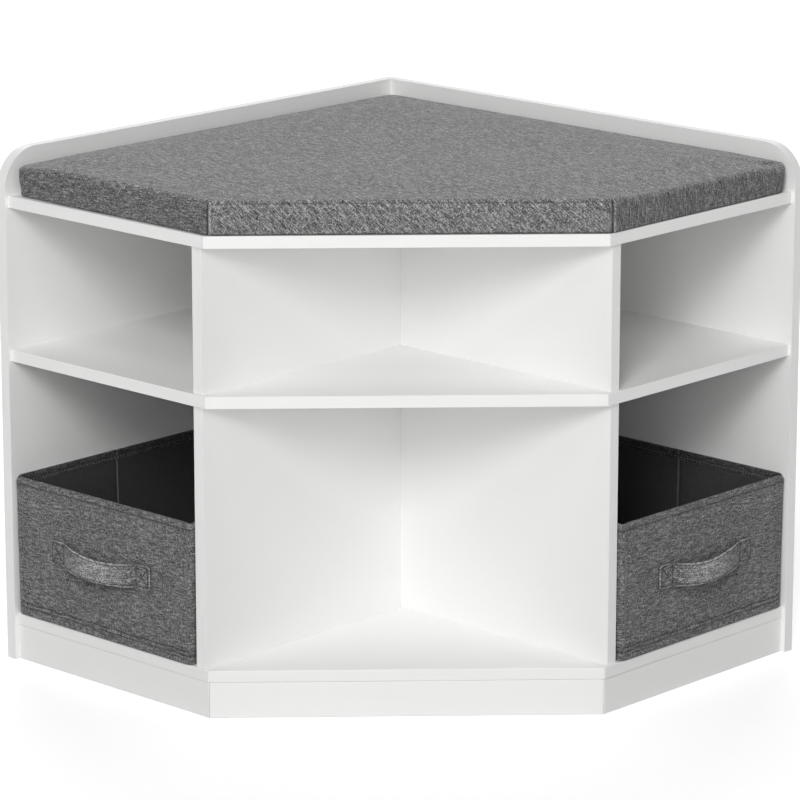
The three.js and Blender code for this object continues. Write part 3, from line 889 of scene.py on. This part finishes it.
def wallSpot(place, spot, lift, up):
    # a point of the wall, moved out by lift, with the wall's flare, waviness and soft corners, which
    # lift in its lowest eighth and dip in its highest sixth
    out, along, outward, onward, _, nearest = spot
    share = up / place.height
    cornered = 1 - smoothStep(nearest / basket["cornerReach"])
    beside = 0 if along > 0 else 1
    up += cornered * basket["cornerLifts"][beside] * smoothStep(1 - share * 8)
    up -= cornered * basket["cornerDips"][beside] * smoothStep(share * 6 - 5)
    probe = place.point(out, along, up) / basket["waveLength"]
    wave = noise.noise(probe) * basket["waviness"] * math.sin(math.pi * min(max(share, 0.03), 0.97))
    out += outward * (lift + wave)
    along += onward * (lift + wave)
    along *= 1 + 2 * basket["flare"] * max(share, 0) ** 2 / place.width
    return place.point(out, along, up)


def grooveAt(value, rows):
    # 1 in the middle of a stitched row's groove, 0 away from it
    return max(bell(value - row, basket["grooveWidth"] * basket["grooveSpread"]) for row in rows)


def innerLift():
    # how far the hem's inner face lies behind the wall's outer one
    proud = basket["hemProud"] * basket["hemInsideProud"]
    return basket["wall"] + basket["liningThickness"] + proud


def foldAt(spot):
    # (ridge, groove) of a side wall's fold at a place, each from 0 to 1
    if not spot[3]:
        return 0, 0
    width = basket["foldWidth"]
    return bell(spot[0] + width, width), bell(spot[0] - width, width)


def skinProfile(place):
    # (lift, height, distance along the cloth) up the outside, over the rim and down inside
    height, proud, wall = place.height, basket["hemProud"], basket["wall"]
    hem, hemRow = height - basket["hemHeight"], height - basket["hemRow"]
    hemEnd = height - basket["hemInside"]
    levels = [basket["firstRing"]]
    levels += [row + shift for row in basket["rowHeights"] for shift in rowShifts]
    start, last = levels[-1] + basket["rowClear"], hem - basket["lastRing"]
    count = round((last - start) / basket["rowStep"])
    levels += [start + (last - start) * i / count for i in range(count + 1)]
    rows = [(lift * mm, level * mm) for lift, level in basket["bottomCurve"]]
    rows += [(0.0, level) for level in levels]
    # the hem's lower edge, its row and the way up to the rim
    rows += [(proud * share, hem + level * mm) for share, level in basket["hemEdge"]]
    rows += [(proud, hemRow + shift) for shift in rowShifts]
    rows += [(proud, height - below) for below in basket["rimRings"][:2]]
    inner = -innerLift()
    middle, radius = (proud + inner) / 2, (proud - inner) / 2
    for step in range(1, basket["rimSteps"]):
        angle = math.pi * step / basket["rimSteps"]
        rows.append((middle + radius * math.cos(angle), height - radius + radius * math.sin(angle)))
    rows.append((inner, height - basket["rimRings"][2]))
    rows += [(inner, hemRow - shift) for shift in rowShifts]
    rows += [(inner + lift * mm, hemEnd + level * mm) for lift, level in basket["hemEndEdge"]]
    # down behind the lining
    behind = (hemEnd - 0.5 * mm, height * 0.75, height * 0.5, height * 0.25, basket["floorThickness"])
    rows += [(-wall, level) for level in behind]
    travelled, profile = 0, []
    for i, (lift, level) in enumerate(rows):
        if i:
            travelled += math.dist(rows[i - 1], (lift, level))
        profile.append((lift, level, travelled))
    return profile


def turnFaces(faces, wanted):
    # the two baskets' directions run opposite ways round, so one of them needs its faces turned
    return [face[::-1] for face in faces] if wanted else faces


def buildSkin(place):
    outline = basketOutline(place)
    profile = skinProfile(place)
    grooves = [place.height - basket["hemRow"], *basket["rowHeights"]]
    rings, places, tones = [], [], []
    for lift, up, travelled in profile:
        outside = lift > -0.5 * mm  # above the curve at the wall's foot
        ring = []
        for spot in outline:
            # tone is painted shade in the grooves and inside the rim, with a painted highlight on the
            # hem's fold ridge
            sunk, tone = 0, 0
            if outside:
                row, upright = grooveAt(up, grooves), 0
                if up < place.height - basket["hemHeight"]:
                    upright = grooveAt(spot[5], basket["rowInsets"])
                sunk = basket["groove"] * max(row, upright)
                tone = basket["groovePaintedShade"] * row
            elif up > place.height - basket["hemInside"] - 0.2 * mm:  # the hem's inner side
                row = grooveAt(up, grooves[:1])
                ridge, groove = foldAt(spot)
                sunk = basket["foldRidge"] * ridge - basket["foldGroove"] * groove
                sunk -= basket["groove"] * row
                tone = basket["hemPaintedShade"] * min(1, -lift / basket["wall"])
                tone += basket["hemFoldPaintedLight"][0] * ridge + basket["hemFoldPaintedLight"][1] * max(row, groove)
            ring.append(wallSpot(place, spot, lift - sunk, up))
            places.append((travelled, spot[4]))
            tones.append(tone)
        rings.append(ring)
    points, faces = closeStack(rings, place.point(0, 0, basket["floorThickness"]), place.point(0, 0, 0))
    return makePiece(
        f"basket_{place.side}_cover", points, turnFaces(faces, place.side == "left"), basketCloth,
        places + [(0.4, 0.4)] * 2, tones + [0, 0], sharpFrom=55)


def buildLining(place):
    # walls and floor of the lining, with the ridge where each side wall folds
    outline = basketOutline(place)
    outer = basket["wall"] + basket["liningGap"]
    inner = basket["wall"] + basket["liningThickness"]
    top = place.height - basket["hemInside"] - basket["liningBelow"]
    floor = basket["floorThickness"] + basket["liningLift"]
    drop, count = top - floor - basket["liningFoot"], basket["liningRows"]
    levels = [top - drop * i / count for i in range(count + 1)]
    outerIn, innerIn = basket["liningFootIn"]
    rows = [(-outer - outerIn, floor), *((-outer, level) for level in reversed(levels))]
    rows += [*((-inner, level) for level in levels), (-inner - innerIn, floor + basket["liningFootUp"])]
    rings, tones = [], []
    for lift, up in rows:
        ring = []
        for spot in outline:
            ridge, groove = foldAt(spot) if lift == -inner else (0, 0)
            fold = basket["foldRidge"] * ridge - basket["foldGroove"] * groove
            ring.append(wallSpot(place, spot, lift - fold, up))
            # a painted highlight on the fold's ridge, painted shade in its groove
            tones.append(basket["liningFoldPaintedLight"][0] * ridge + basket["liningFoldPaintedLight"][1] * groove)
        rings.append(ring)
    points, faces = closeStack(
        rings, place.point(0, 0, floor + basket["liningThickness"]), place.point(0, 0, floor))
    return makePiece(
        f"basket_{place.side}_lining", points, turnFaces(faces, place.side == "left"), felt,
        tones=tones + [0, 0], sharpFrom=40)


floorBoard = {
    "cornerRadius": 5 * mm,
    "cornerSteps": 5,
    # rings of points from below upwards: (inset in mm, share of the thickness)
    "rings": ((1.2, 0), (0.3, 0.25), (0, 0.5), (0.3, 0.75), (1.2, 0.97), (6, 1), (20, 0.96), (60, 0.93)),
}


def buildInsert(place):
    # a stiff board wrapped in the lining's felt, with soft edges
    low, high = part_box(f"basket_{place.side}_floor_insert")
    centre = (low + high) / 2
    corner = floorBoard["cornerRadius"]
    rings = []
    for inset, share in floorBoard["rings"]:
        ring = []
        reachX, reachY = (high.x - low.x) / 2 - inset * mm, (high.y - low.y) / 2 - inset * mm
        level = low.z + (high.z - low.z) * share
        for i, (signX, signY) in enumerate(((1, 1), (-1, 1), (-1, -1), (1, -1))):
            cornerX = centre.x + (reachX - corner) * signX
            cornerY = centre.y + (reachY - corner) * signY
            for step in range(floorBoard["cornerSteps"] + 1):
                angle = math.pi / 2 * (i + step / floorBoard["cornerSteps"])
                ring.append(Vector((
                    cornerX + corner * math.cos(angle), cornerY + corner * math.sin(angle), level)))
        rings.append(ring)
    top = Vector((centre.x, centre.y, rings[-1][0].z))
    bottom = Vector((centre.x, centre.y, low.z))
    points, faces = closeStack(rings, top, bottom)
    return makePiece(f"basket_{place.side}_floor_board", points, faces, felt, sharpFrom=60)


# Strap handle: a folded cloth band, sewn flat at both ends, that bows out and hangs a little.
strap = {
    "length": 142 * mm,
    "width": 25 * mm,
    "thickness": 2.0 * mm,
    "edgeThickness": 3.2 * mm,  # the rolled edges are thicker than the middle
    "edgeWidth": 3 * mm,
    "tilt": 2.6 * mm,  # the bowed part leans back at its upper edge
    "patch": 20 * mm,
    "raise": {"left": 0.5 * mm, "right": -2.5 * mm},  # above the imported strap, as the rim is
    "middlePaintedHighlight": 0.95,  # a painted highlight on the bowed part, where it faces the light
    # painted highlights on the sewn patches and the rolled edges, painted shade on the hidden sides and
    # along the stitched rows
    "patchPaintedHighlight": 0.12,
    "edgePaintedHighlight": 0.9,
    "sidePaintedShade": -0.75,
    "rowPaintedShade": -0.6,
    "bow": {"left": 14.5 * mm, "right": 15.5 * mm},
    "lean": {"left": 0.05, "right": 0.2},  # share by which the highest place lies nearer the far end
    "bowPower": 0.75,  # below 1 the bow is fuller than a cosine
    "droopShare": 0.2,  # of the bow
    "waist": 1.9 * mm,  # each edge draws in there
    "cup": 2.6 * mm,  # the middle's edges curl back
    "endRadius": 3.5 * mm,
    "endThickness": 0.45,  # share at the very ends, which grows by a whole one over
    "endGrowth": 1.5 * mm,
    "endStep": 0.3 * mm,
    "patchStep": 0.7 * mm,
    "freeStep": 2 * mm,
    "offFace": 0.25 * mm,
    "edgeRow": 2.4 * mm,  # stitched, from each edge
    "patchRow": 1 * mm,  # stitched across, from the sewn part's inner end
    "rowMargin": 3 * mm,  # of the stitches, from each end
    "rowWidth": 0.8 * mm,
    "paleEdge": 1.3 * mm,
    "threadLift": 0.15 * mm,
}


def strapRise(side, travelled):
    # how far the strap has risen at a distance from its middle, from 0 on its sewn ends to about 1
    share = travelled / (strap["length"] / 2 - strap["patch"])
    if abs(share) >= 1:
        return 0.0
    bent = share + strap["lean"][side] * (1 - share * share)
    return math.cos(math.pi / 2 * bent) ** strap["bowPower"]


def strapSpot(place, travelled, across, lift):
    # across runs from -1 at the lower edge to 1 at the upper edge
    rise = strapRise(place.side, travelled)
    bow = strap["bow"][place.side] * rise
    end, radius = strap["length"] / 2 - abs(travelled), strap["endRadius"]
    narrowing = 0
    if end < radius:
        narrowing = radius - math.sqrt(max(radius * radius - (radius - end) ** 2, 0))
    reach = strap["width"] / 2 - narrowing - strap["waist"] * rise
    cup = strap["cup"] * rise * across * across
    out = place.depth / 2 + strap["offFace"] + bow - cup - strap["tilt"] * rise * across + lift
    return place.point(out, travelled, place.strapUp - bow * strap["droopShare"] + across * reach)


def strapThicknessAt(across):
    fromEdge = (1 - abs(across)) * strap["width"] / 2
    rolled = smoothStep(1 - fromEdge / strap["edgeWidth"])
    return strap["thickness"] + (strap["edgeThickness"] - strap["thickness"]) * rolled


def patchLines(outer, inner, reach):
    # the box and cross sewn at a strap's end, as lines between (place along, place across)
    return (((outer, -reach), (outer, reach)), ((inner, -reach), (inner, reach)),
            ((outer, -reach), (inner, reach)), ((outer, reach), (inner, -reach)))


def strapTone(rise, across, end):
    # a painted highlight in the middle and on the rolled edges, painted shade along the stitched rows
    half, edgeRow, width, pale = strap["width"] / 2, strap["edgeRow"], strap["rowWidth"], strap["paleEdge"]
    fromEdge = (1 - abs(across)) * half
    row = bell(fromEdge - edgeRow, width)
    spot = Vector((end, across * half))
    for start, finish in patchLines(edgeRow, strap["patch"] - strap["patchRow"], half - edgeRow):
        nearest, share = intersect_point_line(spot, Vector(start), Vector(finish))
        if abs(share - 0.5) < 0.52:  # a little past the row's ends
            row = max(row, bell((nearest.xy - spot).length, width))
    rolled = max(bell(fromEdge, pale), bell(end, pale)) * (1 - row) * (1 - rise / 2)
    base = strap["patchPaintedHighlight"] * (1 - rise) + strap["middlePaintedHighlight"] * rise ** 2
    return base + strap["edgePaintedHighlight"] * rolled + strap["rowPaintedShade"] * row


def strapStations():
    # distances along the strap from its middle, closer together on the sewn ends
    half, patch = strap["length"] / 2, strap["patch"] + 2 * mm
    count = round(patch / strap["patchStep"])
    ends = [strap["endStep"], *(patch * i / count for i in range(1, count))]
    free = half - patch
    count = round(2 * free / strap["freeStep"])
    middle = [-free + 2 * free * i / count for i in range(count + 1)]
    return [-half, *(distance - half for distance in ends), *middle,
            *(half - distance for distance in reversed(ends)), half]


def buildStrap(place):
    # (place across, share of the thickness), over the outer side and back over the inner one
    crossings = [(-1, 0.3), (-0.97, 0.8), *((i / 10, 1) for i in range(-9, 10)), (0.97, 0.8), (1, 0.3)]
    section = []
    for way, line in ((1, crossings), (-1, crossings[::-1])):
        for across, edge in line:
            lift = strap["thickness"] / 2 + way * strapThicknessAt(across) / 2 * edge
            section.append((across, max(lift, 0.0)))
    half = strap["length"] / 2
    stations = strapStations()
    points, places, tones = [], [], []
    for travelled in stations:
        rise, end = strapRise(place.side, travelled), half - abs(travelled)
        thin = min(1, strap["endThickness"] + end / strap["endGrowth"])
        points += [strapSpot(place, travelled, across, lift * thin) for across, lift in section]
        for n, (across, _) in enumerate(section):
            shift = 0 if n < len(crossings) else strap["width"]
            places.append((across * strap["width"] / 2 + shift, travelled + half))
            hidden = shift or abs(across) == 1 or end == 0
            tones.append(strap["sidePaintedShade"] if hidden else strapTone(rise, across, end))
    perRing = len(section)
    faces = skinFaces(len(stations), perRing)
    faces.append(tuple(reversed(range(perRing))))
    faces.append(tuple(range(len(points) - perRing, len(points))))
    return makePiece(
        f"basket_{place.side}_strap", points, turnFaces(faces, place.side == "right"), basketCloth,
        places, tones, sharpFrom=60)


# Stitches are short rounded threads that dip into the cloth at both ends.
stitch = {
    "length": 2.9 * mm,
    "spacing": 4.2 * mm,
    "radius": 0.38 * mm,  # drawn a little thicker than the real thread, so that it shows
    "sides": 6,
    "insidePaintedLight": 5,  # painted light: inside the rim the thread is painted paler than elsewhere, so that it shows in the shade there
    # along its length: (place, thickness, height), all as shares
    "shapeShares": ((-1, 0.35, -0.6), (-0.7, 0.85, 0.1), (0, 1, 0.35), (0.7, 0.85, 0.1), (1, 0.35, -0.6)),
}


def addStitch(points, faces, middle, onward, outward):
    sideways = onward.cross(outward).normalized()
    half, radius, count = stitch["length"] / 2, stitch["radius"], stitch["sides"]
    first = len(points)
    for share, thickness, rise in stitch["shapeShares"]:
        centre = middle + onward * half * share + outward * radius * rise
        for i in range(count):
            angle = 2 * math.pi * i / count
            points.append(centre + radius * thickness * (
                sideways * math.cos(angle) + outward * math.sin(angle)))
    rings = len(stitch["shapeShares"])
    faces += [tuple(first + i for i in face[::-1]) for face in skinFaces(rings, count)]
    faces.append(tuple(first + i for i in range(count)))
    faces.append(tuple(first + (rings - 1) * count + i for i in reversed(range(count))))


def stitchAlong(points, faces, tones, spotAt, outwardAt, length, tone=0):
    # spotAt and outwardAt give a point and its outward direction at a distance along a row
    count = max(1, round(length / stitch["spacing"]))
    step = length / count
    for i in range(count):
        distance = step * (i + 0.5)
        here = spotAt(distance)
        onward = (spotAt(distance + 0.5 * mm) - spotAt(distance - 0.5 * mm)).normalized()
        addStitch(points, faces, here, onward, outwardAt(distance))
    tones += [tone] * (len(points) - len(tones))


def wallRows(place, points, faces, tones):
    # rows that run round the basket, and the upright rows beside its corners
    groove = basket["groove"]
    halfOut, halfAlong = place.depth / 2, place.width / 2
    hemRow = place.height - basket["hemRow"]
    # (height, lift, outside or inside)
    around = [(up, -groove, 1) for up in basket["rowHeights"]]
    around.append((hemRow, basket["hemProud"] - groove, 1))
    around.append((hemRow, groove * basket["insideLift"] - innerLift(), -1))
    low = max(basket["rowHeights"]) + basket["rowClear"]
    high = place.height - basket["hemHeight"] - basket["rowsBelowHem"]
    for facing in facings:
        reach, face = (halfAlong, halfOut) if facing[0] else (halfOut, halfAlong)
        outward = place.direction(*facing, 0)
        length = 2 * (reach - basket["rowClear"])

        def spotOn(offset, facing=facing, reach=reach, face=face):
            return (facing[0] * face - facing[1] * offset, facing[1] * face + facing[0] * offset,
                    *facing, 0, reach - abs(offset))

        for up, lift, way in around:
            stitchAlong(
                points, faces, tones,
                lambda d, up=up, lift=lift: wallSpot(place, spotOn(d - length / 2), lift, up),
                lambda d, way=way: outward * way, length, 0 if way > 0 else stitch["insidePaintedLight"])
        for inset in basket["rowInsets"]:
            for offset in (inset - reach, reach - inset):
                stitchAlong(
                    points, faces, tones,
                    lambda d, offset=offset: wallSpot(place, spotOn(offset), -groove, low + d),
                    lambda d: outward, high - low)


def strapRows(place, points, faces, tones):
    outward = place.direction(1, 0, 0)
    half, reach = strap["length"] / 2, strap["width"] / 2
    top = strap["thickness"] + strap["threadLift"]
    row = 1 - strap["edgeRow"] / reach
    outer, inner = half - strap["rowMargin"], half - strap["patch"] + strap["patchRow"]
    for across in (-row, row):
        stitchAlong(
            points, faces, tones,
            lambda d, across=across: strapSpot(place, d - outer, across, top),
            lambda d: outward, 2 * outer)
    for end in (-1, 1):
        lines = patchLines(end * outer, end * inner, row)
        for (startAlong, startAcross), (endAlong, endAcross) in lines:
            length = math.hypot(endAlong - startAlong, (endAcross - startAcross) * reach)

            def spotOn(d, a=startAlong, b=startAcross, c=endAlong, e=endAcross, length=length):
                share = d / length
                return strapSpot(place, a + (c - a) * share, b + (e - b) * share, top)

            stitchAlong(points, faces, tones, spotOn, lambda d: outward, length)


def buildBasket(side):
    place = BasketPlace(side)
    skin = buildSkin(place)
    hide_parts(f"basket_{side}_shell")
    felting = buildLining(place)
    insert = buildInsert(place)
    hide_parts(f"basket_{side}_floor_insert")
    handle = buildStrap(place)
    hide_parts(f"basket_{side}_strap_handle")
    points, faces, tones = [], [], []
    wallRows(place, points, faces, tones)
    strapRows(place, points, faces, tones)
    faces = turnFaces(faces, side == "right")
    stitches = makePiece(f"basket_{side}_stitches", points, faces, yarn, None, tones, sharpFrom=80)
    slots = {skin: "grey_weave", felting: "black_lining", insert: "black_lining",
             handle: "grey_weave", stitches: "grey_weave"}
    for piece, slotName in slots.items():
        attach(piece, f"basket_{side}")


for side in sides:
    buildBasket(side)
print("baskets sewn")


# Floor, lights and background
studio = {
    "floorRadius": 12,
    "floorSides": 96,
    "floorPaint": "#DCDCDC",
    "glowNear": 0.56,  # seen by the camera only: the floor reads white and keeps its shadow
    "glowFar": 1.0,
    "glowReach": (0.5, 1.6),  # metres from the bench's middle
    "ambient": 0.05,
    "lights": {
        # heading is degrees from the camera's side towards the photo's left, height is degrees
        "keyLight": {"heading": 10, "height": 32, "size": 2, "power": 216},
        "frontLight": {"heading": 10, "height": 15, "size": 2, "power": 66},
        "highLight": {"heading": 10, "height": 55, "size": 2, "power": 62},
        "sideLight": {"heading": -25, "height": 17, "size": 2, "power": 35},
        "backLight": {"heading": 180, "height": 45, "size": 4, "power": 209},
    },
    "lightDistance": 7,
}


def showsBackground(tree):
    # 1 for rays that show the background: the camera's, and those mirrored or passed through
    rays = addNode(tree, "LightPath")
    seen = addNode(tree, "Math", {"operation": "MAXIMUM"}, {
        0: rays["Is Camera Ray"], 1: rays["Is Glossy Ray"]})["Value"]
    return addNode(tree, "Math", {"operation": "MAXIMUM"}, {
        0: seen, 1: rays["Is Transmission Ray"]})["Value"]


def buildFloor():
    radius, count = studio["floorRadius"], studio["floorSides"]
    ring = [(radius * math.cos(2 * math.pi * i / count), radius * math.sin(2 * math.pi * i / count), 0)
            for i in range(count)]
    material, tree = newMaterial("paintedFloor")  # matt studio paint, rolled smooth
    place = addNode(tree, "TexCoord")["Object"]
    away = addNode(tree, "VectorMath", {"operation": "LENGTH"}, {"Vector": place})["Value"]
    near, far = studio["glowReach"]
    strength = addNode(tree, "MapRange", {"interpolation_type": "SMOOTHSTEP"}, {
        "Value": away, "From Min": near, "From Max": far,
        "To Min": studio["glowNear"], "To Max": studio["glowFar"]})["Result"]
    glow = addNode(tree, "Math", {"operation": "MULTIPLY"}, {
        0: showsBackground(tree), 1: strength})["Value"]
    finishMaterial(tree, {
        "Base Color": hexColour(studio["floorPaint"]), "Roughness": 0.9,
        "Specular IOR Level": 0.1,
        "Emission Color": (1, 1, 1, 1), "Emission Strength": glow})
    floor = makePiece("studio_floor", ring, [tuple(range(count))], material)


def buildWorld():
    world = bpy.data.worlds.new("world")
    bpy.context.scene.world = world
    world.use_nodes = True
    tree = world.node_tree
    tree.nodes.clear()
    strength = addNode(tree, "Mix", sockets={
        0: showsBackground(tree), 2: studio["ambient"], 3: 1.0})[0]
    background = addNode(tree, "Background", sockets={
        "Color": (1, 1, 1, 1), "Strength": strength})["Background"]
    addNode(tree, "OutputWorld", sockets={"Surface": background})


def addLights():
    aim = Vector((0, 0, cadBox[1][2] / 2))
    for name, values in studio["lights"].items():
        data = bpy.data.lights.new(name, "AREA")
        data.shape = "SQUARE"
        data.size = values["size"]
        data.energy = values["power"]
        light = bpy.data.objects.new(name, data)
        turn, height = math.radians(225 - values["heading"]), math.radians(values["height"])
        away = Vector((
            math.cos(turn) * math.cos(height), math.sin(turn) * math.cos(height), math.sin(height)))
        light.location = aim + away * studio["lightDistance"]
        light.rotation_euler = (-away).to_track_quat("-Z", "Y").to_euler()
        bpy.context.scene.collection.objects.link(light)


buildFloor()
buildWorld()
addLights()
bpy.context.scene.view_settings.view_transform = "Standard"
print("floor and lights set")
